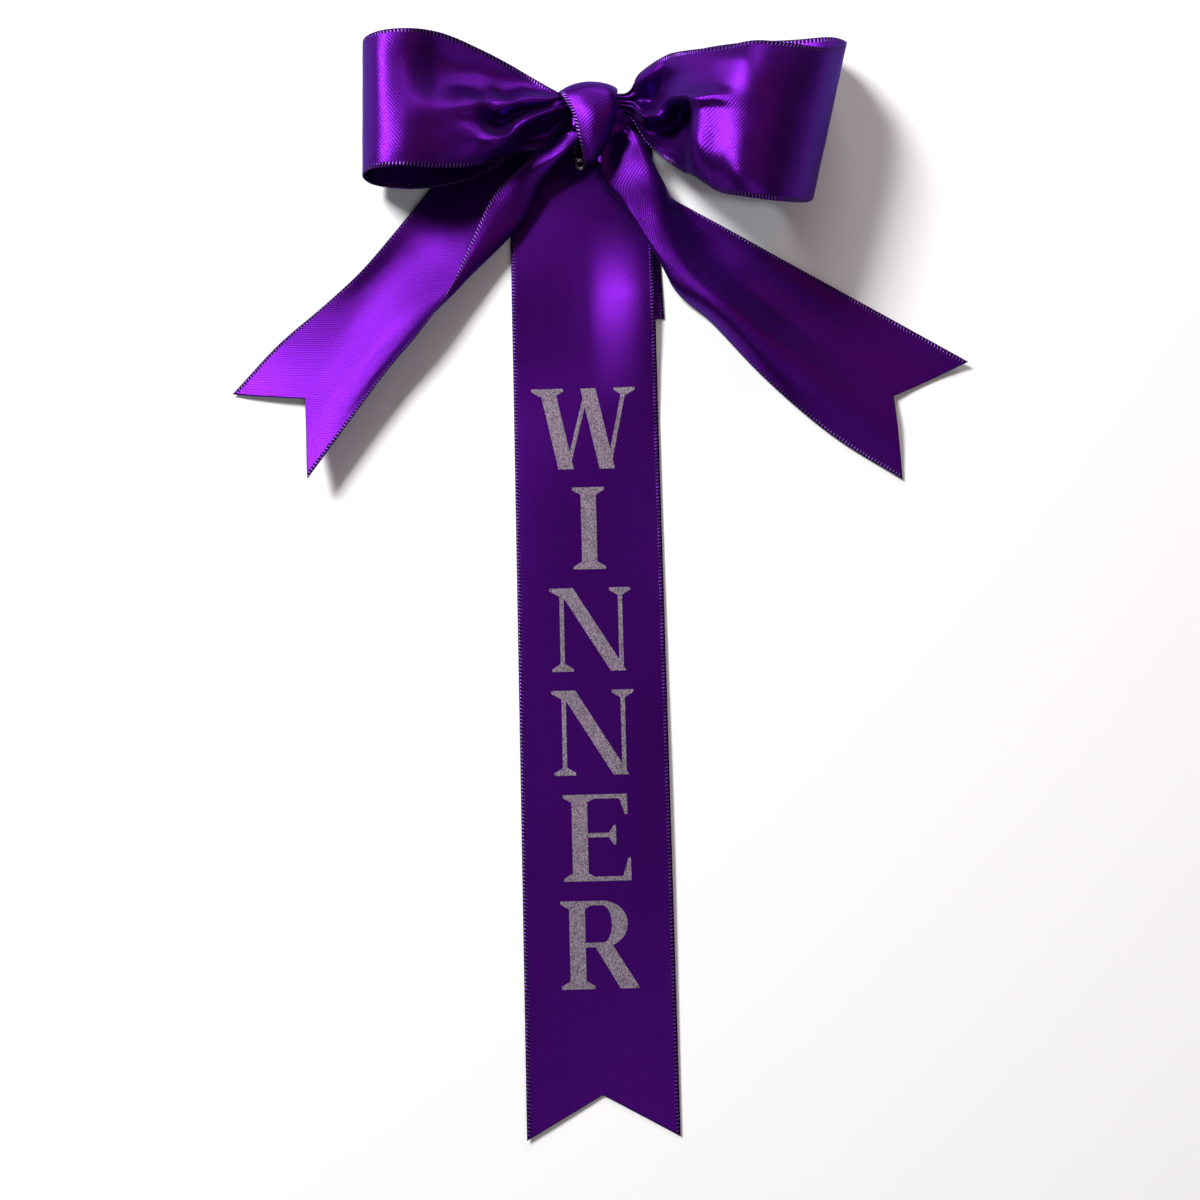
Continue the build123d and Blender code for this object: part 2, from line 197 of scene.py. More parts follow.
RIGHT_LOOP = [
    [
        (7, 13.1, 6.2), (7, 12.7, 7.6), (7, 13.7, 6.2), (7, 13.3, 7.6), (7, 14.3, 6.2),
        (7, 13.9, 7.6), (7, 15, 6.2), (7, 14.5, 7.6), (7, 15.6, 6.2), (7, 15.2, 7.6),
        (7, 16.2, 6.2),
    ],
    [
        (13.2, 11.9, 5.2), (13.1, 11.7, 6.8), (13.2, 13.2, 5.2), (13.1, 13, 6.8),
        (13.2, 14.4, 5.2), (13.1, 14.2, 6.8), (13.2, 15.7, 5.2), (13.1, 15.4, 6.8),
        (13.2, 16.9, 5.2), (13.1, 16.7, 6.8), (13.2, 18.1, 5.2),
    ],
    [
        (17, 8.8, 3.6), (16.9, 9.4, 5), (16.9, 11.5, 3.6), (16.8, 12.1, 5), (16.9, 14.2, 3.6),
        (16.8, 14.9, 5), (16.8, 16.9, 3.6), (16.8, 17.6, 5), (16.8, 19.7, 3.6), (16.7, 20.3, 5),
        (16.7, 22.4, 3.6),
    ],
    [
        (20.7, 4.8, 2.6), (20.7, 6.6, 3.4), (20.7, 9.3, 2.6), (20.6, 11.1, 3.4), (20.6, 13.8, 2.6),
        (20.5, 15.7, 3.4), (20.5, 18.4, 2.6), (20.4, 20.2, 3.4), (20.4, 22.9, 2.6),
        (20.3, 24.8, 3.4), (20.3, 27.5, 2.6),
    ],
    [
        (29.6, -1.4, 2.5), (29.6, 1.9, 2.5), (29.6, 5.2, 2.5), (29.7, 8.4, 2.5), (29.7, 11.7, 2.5),
        (29.7, 15, 2.5), (29.7, 18.3, 2.5), (29.8, 21.6, 2.5), (29.8, 24.9, 2.5),
        (29.8, 28.3, 2.5), (29.8, 31.6, 2.5),
    ],
    [
        (43, -5.2, 2.3), (43, -1.3, 2.3), (43.1, 2.6, 2.3), (43.1, 6.5, 2.3), (43.2, 10.5, 2.3),
        (43.2, 14.4, 2.3), (43.3, 18.4, 2.3), (43.3, 22.3, 2.3), (43.4, 26.3, 2.3),
        (43.4, 30.3, 2.3), (43.5, 34.3, 2.3),
    ],
    [
        (54.7, -7.4, 2.8), (55.1, -3.2, 2.8), (55.4, 0.9, 2.8), (55.8, 5.1, 2.8), (56.1, 9.4, 2.8),
        (56.5, 13.6, 2.8), (56.9, 17.8, 2.8), (57.2, 22.1, 2.8), (57.6, 26.3, 2.8),
        (58, 30.6, 2.8), (58.4, 34.9, 2.8),
    ],
    [
        (59.7, -10.8, 8), (60.4, -6.5, 8), (61.1, -2.2, 8), (61.8, 2.1, 8), (62.6, 6.4, 8),
        (63.3, 10.8, 8), (64, 15.2, 8), (64.7, 19.5, 8), (65.5, 23.9, 8), (66.2, 28.3, 8),
        (66.9, 32.7, 8),
    ],
    [
        (60.3, -15.3, 15), (61.2, -11.3, 15.5), (62, -7.3, 16), (62.9, -3.4, 16.5),
        (63.8, 0.6, 17), (64.7, 4.9, 17), (65.7, 9.1, 17), (66.5, 13.1, 17.5), (67.4, 17.1, 18),
        (68.2, 21.1, 18.5), (69.1, 25, 19),
    ],
    [
        (57.6, -19.4, 22), (58.3, -15.8, 23), (59.1, -11.9, 23.5), (59.9, -8, 24),
        (60.7, -4.1, 24.5), (61.5, -0.2, 25), (62.4, 3.9, 25), (63.2, 7.8, 25.5), (64, 11.6, 26),
        (64.9, 15.8, 26), (65.8, 20, 26),
    ],
    [
        (52.8, -22.5, 29), (53.4, -18.9, 30), (54.1, -15.2, 30.5), (54.8, -11.4, 31),
        (55.5, -7.6, 31.5), (56.2, -3.9, 32), (57, 0.1, 32), (57.7, 3.9, 32.5), (58.4, 7.7, 33),
        (59.2, 11.7, 33), (60.1, 16, 32.5),
    ],
    [
        (45.4, -24, 34), (45.8, -20.7, 35.5), (46.4, -17, 36), (46.9, -13.3, 36.5),
        (47.4, -9.5, 37), (47.9, -5.8, 37.5), (48.4, -2.1, 38), (49, 1.9, 38), (49.6, 5.9, 38),
        (50.3, 10.2, 37.5), (51.1, 14.8, 36.5),
    ],
    [
        (39.1, -23, 34), (39.4, -20.2, 36.5), (39.7, -16.8, 37.5), (40.1, -13.1, 38),
        (40.6, -9.4, 38.5), (41.1, -5.5, 38.5), (41.5, -1.8, 39), (41.9, 1.9, 39.5),
        (42.4, 5.8, 39.5), (42.9, 10, 39), (43.6, 14.9, 37.5),
    ],
    [
        (33.9, -19.8, 30), (33.7, -17.1, 33.5), (33.5, -13.3, 35.3), (33.5, -9.3, 36),
        (33.6, -5.1, 36.2), (33.6, -1.6, 36.4), (33.7, 0.6, 37.6), (34.1, 4, 36),
        (34.7, 7.6, 35.4), (35.3, 11.1, 35.2), (35.9, 15.4, 34),
    ],
    [
        (29.5, -15.6, 28), (29, -13.6, 31.5), (28.6, -10.8, 33.3), (28.6, -7.6, 34),
        (28.9, -3.7, 34), (29.1, -0.5, 34.2), (29.2, 0.9, 36), (29.5, 5.3, 32.5), (29.7, 9, 31),
        (30.2, 12.7, 31), (30.3, 16.9, 30),
    ],
    [
        (26.9, -9.4, 17.5), (26.9, -6.4, 19), (27.3, -3.6, 20), (28.5, 0.1, 19), (29, 4.1, 18.5),
        (28.6, 6.1, 21), (26.5, 4, 30), (25.7, 7.5, 27), (25.2, 12.2, 24), (24.9, 15.4, 25),
        (24.9, 18.9, 25),
    ],
    [
        (23.9, -5.4, 13.5), (24.4, -2.6, 14), (25.2, 0.8, 13), (26.4, 4.3, 12), (27.2, 7.7, 12),
        (26.3, 10.2, 13), (23.9, 6.9, 23), (22.8, 10.4, 20.5), (22.4, 14.9, 18), (22.3, 16.8, 21),
        (22.6, 20.1, 21.5),
    ],
    [
        (19.9, -0.2, 10), (20.2, 2.2, 9), (21.1, 5.1, 7.6), (22.1, 7.1, 8.2), (21.9, 7.4, 11.5),
        (20.6, 5.4, 17.5), (19.7, 8.3, 15), (19.1, 13.7, 10), (18.5, 15.4, 13), (18.1, 16.3, 17.5),
        (18.1, 19.6, 17),
    ],
    [
        (16.8, 3.9, 9), (16.8, 5.7, 7.5), (17.1, 7.4, 7), (17.3, 7.5, 9.5), (17.7, 6.9, 13.5),
        (17.2, 8.2, 13), (16.7, 10.9, 11), (16.3, 13.9, 9.5), (15.7, 15.6, 11), (15.4, 16.8, 13.5),
        (15.1, 18.7, 13.5),
    ],
    [
        (13.9, 9.1, 9.2), (13.9, 10.6, 7.8), (13.9, 10.5, 9.6), (13.9, 12.2, 8), (14.1, 11.5, 11),
        (13.9, 13.1, 9), (13.8, 13.1, 10.6), (13.6, 14.8, 8.8), (13.6, 14.6, 10.8),
        (13.3, 16.1, 9.6), (13.3, 15.9, 11),
    ],
    [
        (8.1, 11.4, 8.4), (8, 10.9, 10.2), (8.1, 12.3, 8.4), (8, 11.8, 10.2), (8.1, 13.1, 8.4),
        (8, 12.6, 10.2), (8.1, 13.9, 8.4), (8, 13.4, 10.2), (8.1, 14.8, 8.4), (8, 14.3, 10.2),
        (8.1, 15.6, 8.4),
    ],
]

LEFT_LOOP = [
    [
        (3.8, 11.7, 5.6), (3.8, 11.3, 7.2), (3.8, 12.4, 5.6), (3.8, 11.9, 7.2), (3.8, 13.1, 5.6),
        (3.8, 12.6, 7.2), (3.8, 13.8, 5.6), (3.8, 13.3, 7.2), (3.8, 14.4, 5.6), (3.8, 13.9, 7.2),
        (3.8, 15.1, 5.6),
    ],
    [
        (-3.7, 10.5, 4.6), (-3.7, 10.4, 6.2), (-3.8, 11.8, 4.6), (-3.8, 11.7, 6.2),
        (-3.8, 13.1, 4.6), (-3.8, 13, 6.2), (-3.9, 14.4, 4.6), (-3.9, 14.3, 6.2),
        (-3.9, 15.7, 4.6), (-3.9, 15.6, 6.2), (-4, 17, 4.6),
    ],
    [
        (-9.1, 7.8, 3.4), (-9.2, 8.4, 4.8), (-9.4, 10.4, 3.4), (-9.5, 11, 4.8), (-9.7, 13.1, 3.4),
        (-9.8, 13.7, 4.8), (-10, 15.7, 3.4), (-10, 16.3, 4.8), (-10.2, 18.4, 3.4),
        (-10.3, 19, 4.8), (-10.5, 21.1, 3.4),
    ],
    [
        (-15.6, 3.6, 2.6), (-15.7, 5.4, 3.4), (-15.9, 8, 2.6), (-16.1, 9.8, 3.4),
        (-16.3, 12.3, 2.6), (-16.4, 14.1, 3.4), (-16.6, 16.7, 2.6), (-16.8, 18.5, 3.4),
        (-17, 21.1, 2.6), (-17.1, 22.9, 3.4), (-17.4, 25.5, 2.6),
    ],
    [
        (-26.3, -3, 2.4), (-26.3, 0.3, 2.4), (-26.4, 3.6, 2.4), (-26.4, 7, 2.4),
        (-26.4, 10.3, 2.4), (-26.5, 13.6, 2.4), (-26.5, 17, 2.4), (-26.5, 20.4, 2.4),
        (-26.6, 23.7, 2.4), (-26.6, 27.1, 2.4), (-26.6, 30.5, 2.4),
    ],
    [
        (-39.7, -6.7, 2.2), (-39.8, -2.6, 2.2), (-39.8, 1.6, 2.2), (-39.9, 5.7, 2.2),
        (-39.9, 9.9, 2.2), (-40, 14.1, 2.2), (-40.1, 18.3, 2.2), (-40.1, 22.5, 2.2),
        (-40.2, 26.7, 2.2), (-40.2, 31, 2.2), (-40.3, 35.2, 2.2),
    ],
    [
        (-48.9, -6.7, 1.6), (-49, -2.4, 1.6), (-49.1, 2, 1.6), (-49.1, 6.3, 1.6),
        (-49.2, 10.7, 1.6), (-49.3, 15.1, 1.6), (-49.4, 19.5, 1.6), (-49.5, 23.9, 1.6),
        (-49.5, 28.4, 1.6), (-49.6, 32.8, 1.6), (-49.7, 37.3, 1.6),
    ],
    [
        (-54.7, -6.3, 2.6), (-54.7, -2.2, 2.6), (-54.8, 2, 2.6), (-54.9, 6.2, 2.6),
        (-55, 10.4, 2.6), (-55.1, 14.6, 2.6), (-55.2, 18.8, 2.6), (-55.2, 23.1, 2.6),
        (-55.3, 27.3, 2.6), (-55.4, 31.6, 2.6), (-55.5, 35.8, 2.6),
    ],
    [
        (-56.9, -7.1, 9.5), (-56.9, -3.5, 9.5), (-57, 0.2, 9.5), (-57.1, 3.9, 9.5),
        (-57.1, 7.6, 9.5), (-57.2, 11.3, 9.5), (-57.3, 15, 9.5), (-57.3, 18.7, 9.5),
        (-57.4, 22.4, 9.5), (-57.5, 26.2, 9.5), (-57.5, 29.9, 9.5),
    ],
    [
        (-55, -8.1, 15.5), (-55.1, -4.5, 15.5), (-55.2, -0.9, 15.5), (-55.3, 2.8, 15.5),
        (-55.4, 6.4, 15.5), (-55.4, 10, 15.5), (-55.5, 13.7, 15.5), (-55.6, 17.4, 15.5),
        (-55.7, 21, 15.5), (-55.8, 24.7, 15.5), (-55.9, 28.4, 15.5),
    ],
    [
        (-51.2, -9, 19.5), (-51.2, -5.6, 20), (-51.2, -1.9, 20), (-51.2, 1.6, 20.2),
        (-51.3, 5.3, 20.2), (-51.3, 8.9, 20.2), (-51.4, 12.6, 20.2), (-51.4, 16.4, 20),
        (-51.5, 20.1, 20), (-51.6, 23.9, 19.8), (-51.7, 27.8, 19.5),
    ],
    [
        (-44.9, -9.1, 20.5), (-44.9, -5.7, 21), (-44.8, -2.1, 21.3), (-44.8, 1.5, 21.4),
        (-44.9, 5.2, 21.3), (-44.9, 9.1, 21), (-45, 13, 20.6), (-45.1, 16.9, 20.2),
        (-45.1, 20.8, 20), (-45.1, 24.4, 20.2), (-45.1, 28, 20.5),
    ],
    [
        (-36.2, -8, 17), (-36.1, -4.6, 18.2), (-36.1, -1.4, 18.8), (-36.1, 2, 19),
        (-36.1, 5.3, 19.3), (-36.2, 8.4, 19), (-36.5, 12.5, 17), (-36.8, 17.4, 15),
        (-36.9, 21.9, 14.8), (-36.8, 25.5, 16.2), (-36.2, 28.6, 17.5),
    ],
    [
        (-26.4, -5.3, 12.5), (-26.4, -3.7, 15), (-26.8, -1.6, 17), (-27, 1.2, 17.8),
        (-26.9, 5.1, 16.6), (-26.3, 7.5, 17.6), (-26.1, 9.8, 17.4), (-26.5, 15.2, 13.4),
        (-26.5, 20.2, 11.8), (-26.2, 23.6, 12.8), (-25.5, 25.7, 14),
    ],
    [
        (-19.6, -1.5, 9), (-19.6, -1.9, 13.5), (-19.6, -1.6, 17), (-19.8, -0, 17.6),
        (-20.5, 4.9, 12), (-20.7, 7.9, 10.5), (-20.1, 8.4, 14.4), (-19.7, 9.9, 16.2),
        (-19.6, 14.9, 11.8), (-19, 19.8, 10), (-17.6, 22.6, 11.5),
    ],
    [
        (-13.7, 0.8, 8), (-13.6, 1.7, 9), (-13.7, 4.4, 8), (-13.7, 4.7, 13), (-13.7, 4.9, 17),
        (-14, 9, 12), (-13.8, 11.2, 10.5), (-13.4, 11.2, 13.6), (-12.9, 12.7, 14), (-12.3, 17, 10),
        (-11.3, 19.4, 10),
    ],
    [
        (-8.4, 2.9, 7), (-8.2, 4.9, 6.3), (-7.9, 7.1, 6.5), (-7.8, 8.1, 9.5), (-7.9, 8.6, 14),
        (-8.2, 10.7, 12), (-8.3, 12.2, 11.2), (-8, 12.2, 12.8), (-7.7, 13.1, 12.6),
        (-7.3, 15.6, 10.5), (-6.8, 16.6, 10.2),
    ],
    [
        (-4.7, 8.5, 7.5), (-4.7, 10, 6.8), (-4.7, 10.5, 8), (-4.4, 10.6, 10.5), (-4.3, 10.8, 12.3),
        (-4.4, 12.6, 10.5), (-4.3, 12.4, 11.8), (-4.4, 14, 10.4), (-4.3, 14.1, 11.2),
        (-4.7, 15.5, 9.6), (-4.9, 15.9, 9.8),
    ],
    [
        (3.3, 11.6, 8), (3.3, 11, 9.8), (3.3, 12.2, 8), (3.3, 11.5, 9.8), (3.3, 12.7, 8),
        (3.3, 12.1, 9.8), (3.3, 13.3, 8), (3.3, 12.7, 9.8), (3.3, 13.9, 8), (3.3, 13.2, 9.8),
        (3.3, 14.4, 8),
    ],
]

KNOT = [
    ((-4.3, 16.8, 4.6), (2.2, 18.2, 4.6), (9.2, 17.3, 4.6)),
    ((-5.4, 16.1, 8.5), (1.7, 18.9, 8.6), (9.7, 17.7, 8.2)),
    ((-5.4, 15, 12), (1.7, 17.2, 13), (9.9, 16.1, 12.4)),
    ((-4.7, 13.4, 13.6), (2.3, 14.7, 14.9), (9.8, 14, 14.4)),
    ((-3.2, 10.5, 14.5), (3.3, 10.9, 15.8), (9.6, 11, 15.2)),
    ((-1.6, 7.2, 14.6), (4.1, 6.7, 16.1), (9.4, 7.6, 14.8)),
    ((-0.6, 3.4, 14), (4.1, 2.7, 15.4), (8.4, 4.1, 13.6)),
    ((0.6, -0.7, 12.8), (3.6, -1.5, 13.9), (6.6, 0.5, 12)),
    ((1.1, -2.5, 11.4), (2.8, -3.6, 12), (5, -1.5, 10.8)),
    ((1.7, -1.4, 7.4), (2.9, -1.9, 7.4), (4.3, -0.7, 7)),
]


def spline(points, count, axis=0):
    """Catmull-Rom curve through the points along an axis, evenly spaced by mean chord length."""
    points = np.moveaxis(np.asarray(points, float), axis, 0)
    gaps = np.linalg.norm(np.diff(points, axis=0), axis=-1)
    gaps = gaps.reshape(len(gaps), -1).mean(1)
    knots = np.concatenate([[0], np.cumsum(gaps)])
    slopes = np.gradient(points, knots, axis=0)
    where = np.linspace(0, knots[-1], count)
    piece = np.clip(np.searchsorted(knots, where, side="right") - 1, 0, len(knots) - 2)
    span = knots[piece + 1] - knots[piece]
    f = (where - knots[piece]) / span
    shape = (-1,) + (1,) * (points.ndim - 1)
    f, span = f.reshape(shape), span.reshape(shape)
    a, b = points[piece], points[piece + 1]
    m, n = slopes[piece] * span, slopes[piece + 1] * span
    out = (
        (2 * f**3 - 3 * f**2 + 1) * a
        + (f**3 - 2 * f**2 + f) * m
        + (3 * f**2 - 2 * f**3) * b
        + (f**3 - f**2) * n
    )
    return np.moveaxis(out, 0, axis)


def even(grid):
    """Spaces the points of every row evenly along the row."""
    out = np.empty_like(grid)
    share = np.linspace(0, 1, grid.shape[1])
    for i, row in enumerate(grid):
        run = np.concatenate([[0], np.cumsum(np.linalg.norm(np.diff(row, axis=0), axis=1))])
        out[i] = np.stack([np.interp(share * run[-1], run, row[:, k]) for k in range(3)], 1)
    return out


def soften(grid, rounds):
    """Rounds off the kinks between cross-sections, as the stiffness of satin does."""
    for _ in range(rounds):
        middle = grid.copy()
        middle[1:-1] += 0.25 * (grid[2:] + grid[:-2] - 2 * grid[1:-1])
        across = middle.copy()
        across[:, 1:-1] += 0.25 * (middle[:, 2:] + middle[:, :-2] - 2 * middle[:, 1:-1])
        grid = across
    return grid


def surface(ribs, rows, columns, rounds):
    points = np.array(ribs) + PIN_ON_TABLE
    grid = spline(spline(points, columns, axis=1), rows, axis=0)
    return soften(even(grid), rounds)


def mean_length(grid):
    return float(np.linalg.norm(np.diff(grid, axis=0), axis=-1).sum(0).mean())


# --- meshes ---
def sample(grid, s, t):
    """Points of the grid at fractions s of its length and t of its width."""
    rows, columns = grid.shape[:2]
    i, j = np.clip(s, 0, 1) * (rows - 1), np.clip(t, 0, 1) * (columns - 1)
    i0, j0 = np.clip(i.astype(int), 0, rows - 2), np.clip(j.astype(int), 0, columns - 2)
    fi, fj = (i - i0)[..., None], (j - j0)[..., None]
    upper = grid[i0, j0] * (1 - fj) + grid[i0, j0 + 1] * fj
    under = grid[i0 + 1, j0] * (1 - fj) + grid[i0 + 1, j0 + 1] * fj
    return upper * (1 - fi) + under * fi


def normals(grid):
    along, across = np.gradient(grid, axis=0), np.gradient(grid, axis=1)
    normal = np.cross(along, across)
    return normal / (np.linalg.norm(normal, axis=-1, keepdims=True) + 1e-12)


def cloth_object(name, verts, faces, places):
    """A smooth mesh that knows each point's place on the flat ribbon: (along, across) in mm."""
    mesh = bpy.data.meshes.new(name)
    mesh.from_pydata([tuple(v) for v in verts * MM], [], faces)
    mesh.polygons.foreach_set("use_smooth", [True] * len(mesh.polygons))
    vectors = np.concatenate([places, np.zeros((len(places), 1))], 1)
    attribute = mesh.attributes.new("cloth", "FLOAT_VECTOR", "POINT")
    attribute.data.foreach_set("vector", vectors.astype(np.float32).ravel())
    layer = mesh.uv_layers.new(name="Flat")
    corner = np.zeros(len(mesh.loops), np.int32)
    mesh.loops.foreach_get("vertex_index", corner)
    layer.data.foreach_set("uv", (places[corner] * UV_SCALE).astype(np.float32).ravel())
    mesh.update()
    thing = bpy.data.objects.new(name, mesh)
    bpy.context.scene.collection.objects.link(thing)
    return thing


def rim_of(index):
    """The outline of a grid of point numbers, once round."""
    sides = [index[:, 0], index[-1, 1:], index[::-1, -1][1:], index[0, ::-1][1:-1]]
    return np.concatenate(sides)


def sheet_mesh(name, grid, flat):
    """A closed sheet around a grid of points. flat: (along, across) in mm for each point."""
    rows, columns = grid.shape[:2]
    half = normals(grid) * (THICK / 2)
    verts = np.concatenate([(grid + half).reshape(-1, 3), (grid - half).reshape(-1, 3)])
    index = np.arange(rows * columns).reshape(rows, columns)
    quad = np.stack([index[:-1, :-1], index[1:, :-1], index[1:, 1:], index[:-1, 1:]], -1)
    back = quad[..., ::-1] + rows * columns
    loop, low = rim_of(index), rim_of(index + rows * columns)
    rim = np.stack([np.roll(loop, -1), loop, low, np.roll(low, -1)], -1)
    faces = np.concatenate([quad.reshape(-1, 4), back.reshape(-1, 4), rim]).tolist()
    places = np.concatenate([flat.reshape(-1, 2), flat.reshape(-1, 2)])
    return cloth_object(name, verts, faces, places)


def tube_mesh(name, grid, flat):
    """A closed bundle: rings of points with their two ends capped."""
    rows, columns = grid.shape[:2]
    columns -= 1
    faces = []
    for i in range(rows - 1):
        ring, next_ring = i * columns, (i + 1) * columns
        for j in range(columns):
            n = (j + 1) % columns
            faces.append((ring + j, ring + n, next_ring + n, next_ring + j))
    faces.append(tuple(range(columns - 1, -1, -1)))
    faces.append(tuple((rows - 1) * columns + j for j in range(columns)))
    return cloth_object(name, grid[:, :-1].reshape(-1, 3), faces, flat[:, :-1].reshape(-1, 2))


def swallow_tail(along, end, notch, off_centre, zone):
    """Draws the last `zone` of the ribbon back to a V. off_centre: 0 in the middle, 1 at an edge."""
    cut = end - notch * (1 - off_centre)
    start = end - zone
    return np.where(along > start, start + (along - start) * (cut - start) / zone, along)


def ribbon_piece(name, grid, length, rows, columns, notch=0.0, width=RIBBON, shift=0.0):
    """A ribbon from a grid of points, with a swallow-tailed cut of depth `notch` at its far end."""
    s, t = np.meshgrid(np.linspace(0, 1, rows), np.linspace(0, 1, columns), indexing="ij")
    s = s * length
    if notch:
        s = swallow_tail(s, length, notch, np.abs(2 * t - 1), 2.5 * notch)
    points = sample(grid, s / length, t)
    flat = np.stack([s, (t - 0.5) * width + shift], -1)
    return sheet_mesh(name, points, flat)


# --- the ribbon's stretches ---
def make_stretch(name, ribs, rows, notch=0.0):
    grid = surface(ribs, rows, COLUMNS, rounds=6)
    length = mean_length(grid)
    return ribbon_piece(name, grid, length, rows, COLUMNS, notch=notch), length


# --- the knot ---
def band(left, middle, right):
    """A cross-section of the knot's band: a rounded top and a fold tucked under on its right."""
    left, middle, right = (np.array(v, float) for v in (left, middle, right))
    f = np.array([0, 0.12, 0.3, 0.5, 0.7, 0.88])[:, None]
    bulge = middle - (left + right) / 2
    top = left * (1 - f) + right * f + 4 * f * (1 - f) * bulge
    under = [right + [0.1, 0, -1.2], right + [-0.8, 0, -2.6], right + [-2.4, 0, -3.2]]
    return np.vstack([top, under])


def make_knot_wrap():
    rows, columns = 120, 65
    grid = surface([band(*row) for row in KNOT], rows, columns, rounds=2)
    length = mean_length(grid)
    shift = (WRAP_WIDTH - RIBBON) / 2
    wrap = ribbon_piece(
        "knot_wrap_satin", grid, length, rows, columns, width=WRAP_WIDTH, shift=shift
    )
    return wrap, length


def make_knot_core():
    """The gathered ribbon inside the knot: a bundle with pleats that run from loop to loop."""
    rows, columns = 60, 97
    centre = (KNOT_LOW + KNOT_HIGH) / 2
    x = np.linspace(KNOT_LOW[0] + 3.4, KNOT_HIGH[0] - 0.8, rows)[:, None]
    angle = np.linspace(0, 2 * math.pi, columns)[None, :]
    pleat = 0.5 * np.sin(5 * angle + 0.3 * x) + 0.25 * np.sin(8 * angle - 0.25 * x + 1.0)
    end = 1 - 0.7 * (np.abs(x - centre[0]) / 9) ** 2
    y = centre[1] + 1.4 + (6.0 * end + pleat) * np.cos(angle)
    z = centre[2] - 1.5 + (3.9 * end + 0.6 * pleat) * np.sin(angle)
    grid = np.stack([x + 0 * angle, y, z], -1)
    flat = np.stack([x + 0 * angle, 3.0 * angle + 0 * x], -1)
    return tube_mesh("knot_core_satin", grid, flat)


# --- the streamer ---
DOWN = across_axis("streamer_lift")
ASIDE = np.array([-DOWN[1], DOWN[0], 0.0])
TOP_AT = -20.0  # from the pin, down the streamer
FOOT_AT = 252.5
FOOT_ZONE = 30.0  # the stretch that the cut at the foot draws back
FOLD_FOOT = 43.0
FOLD_BEND = 3.0  # length of cloth in the bend at the top
FOLD_SKEW = math.radians(2.2)


def streamer_height(down, over):
    """Height of the streamer: over its folded layer at the top, then on the table in low waves."""
    step = 1 / (1 + np.exp((down - 50.0) / 3.2))
    clear = np.clip((down - 16.0) / 22.0, 0, 1) * np.clip((70.0 - down) / 34.0, 0, 1)
    tilt = over / RIBBON * 2
    rise = np.clip((tilt - 0.05) / 0.85, 0, 1)
    channel = clear * (2.1 * rise**2 * (3 - 2 * rise) + 1.2 * np.maximum(-0.1 - tilt, 0) ** 1.5)
    wave = 0.35 * np.sin(down / 23.0) * np.sin(over / 9.0 + 0.6)
    wave = wave + 0.3 * np.cos(down / 31.0 + over / 22.0)
    free = np.clip((down - 40.0) / 40.0, 0, 1)
    return 0.45 * step + 0.18 + channel + free * 0.6 * (wave + 0.65)


def make_streamer():
    rows, columns = 420, 60
    down = np.linspace(TOP_AT, FOOT_AT, rows)[:, None]
    over = np.linspace(RIBBON / 2, -RIBBON / 2, columns)[None, :]
    off_centre = np.abs(over) / (RIBBON / 2)
    down = swallow_tail(down + 0 * over, FOOT_AT, FOOT_NOTCH, off_centre, FOOT_ZONE)
    over = over + 0 * down
    grid = PIN_ON_TABLE + down[..., None] * DOWN + over[..., None] * ASIDE
    grid[..., 2] = streamer_height(down, over)
    flat = np.stack([down, over], -1)
    return sheet_mesh("streamer_satin", grid[:, ::-1], flat[:, ::-1])


def make_streamer_fold():
    """The streamer's top end, folded over to the back, a little askew."""
    rows, columns = 120, 48
    length = FOLD_FOOT - TOP_AT + FOLD_BEND
    s = np.linspace(0, length, rows)[:, None]
    over = np.linspace(-RIBBON / 2, RIBBON / 2, columns)[None, :]
    bend = np.clip(s / FOLD_BEND, 0, 1) * math.pi
    past = s - FOLD_BEND
    down = np.where(past < 0, TOP_AT - 0.35 * np.sin(bend), TOP_AT + past)
    height = np.where(past < 0, 0.4 + 0.28 * np.cos(bend), 0.16)
    side = over + np.clip(past, 0, None) * math.tan(FOLD_SKEW)
    grid = PIN_ON_TABLE + (down + 0 * over)[..., None] * DOWN + side[..., None] * ASIDE
    grid[..., 2] = height + 0 * over
    flat = np.stack([s + 0 * over, over + 0 * s], -1)
    return sheet_mesh("streamer_fold_satin", grid, flat)


VINYL_GAP = 0.02  # between the satin and the letter pressed onto it
CUT_FROM = 1.0  # the first cut through a letter, and the distance between cuts
CUT_STEP = 1.5


def drape(name, thing):
    """A copy of a flat letter, cut fine enough to follow the streamer it is pressed onto."""
    shape = bmesh.new()
    shape.from_mesh(thing.data)
    shape.transform(thing.matrix_world)
    low, high = (np.array(v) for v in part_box(name))
    for axis in (0, 1):
        normal = [0.0, 0.0, 0.0]
        normal[axis] = 1.0
        for place in np.arange(low[axis] + CUT_FROM * MM, high[axis], CUT_STEP * MM):
            point = [0.0, 0.0, 0.0]
            point[axis] = float(place)
            everything = shape.verts[:] + shape.edges[:] + shape.faces[:]
            bmesh.ops.bisect_plane(shape, geom=everything, plane_co=point, plane_no=normal)
    for vert in shape.verts:
        spot = np.array(vert.co) / MM - PIN_ON_TABLE
        rise = streamer_height(spot @ DOWN, spot @ ASIDE) + THICK / 2 + VINYL_GAP
        vert.co.z = (rise + (vert.co.z / MM - low[2] / MM)) * MM
    mesh = bpy.data.meshes.new(name + "_vinyl")
    shape.to_mesh(mesh)
    shape.free()
    copy = bpy.data.objects.new(name + "_vinyl", mesh)
    bpy.context.scene.collection.objects.link(copy)
    return copy


# --- materials ---
def node(tree, kind, **values):
    made = tree.nodes.new(kind)
    for key, value in values.items():
        setattr(made, key, value)
    return made


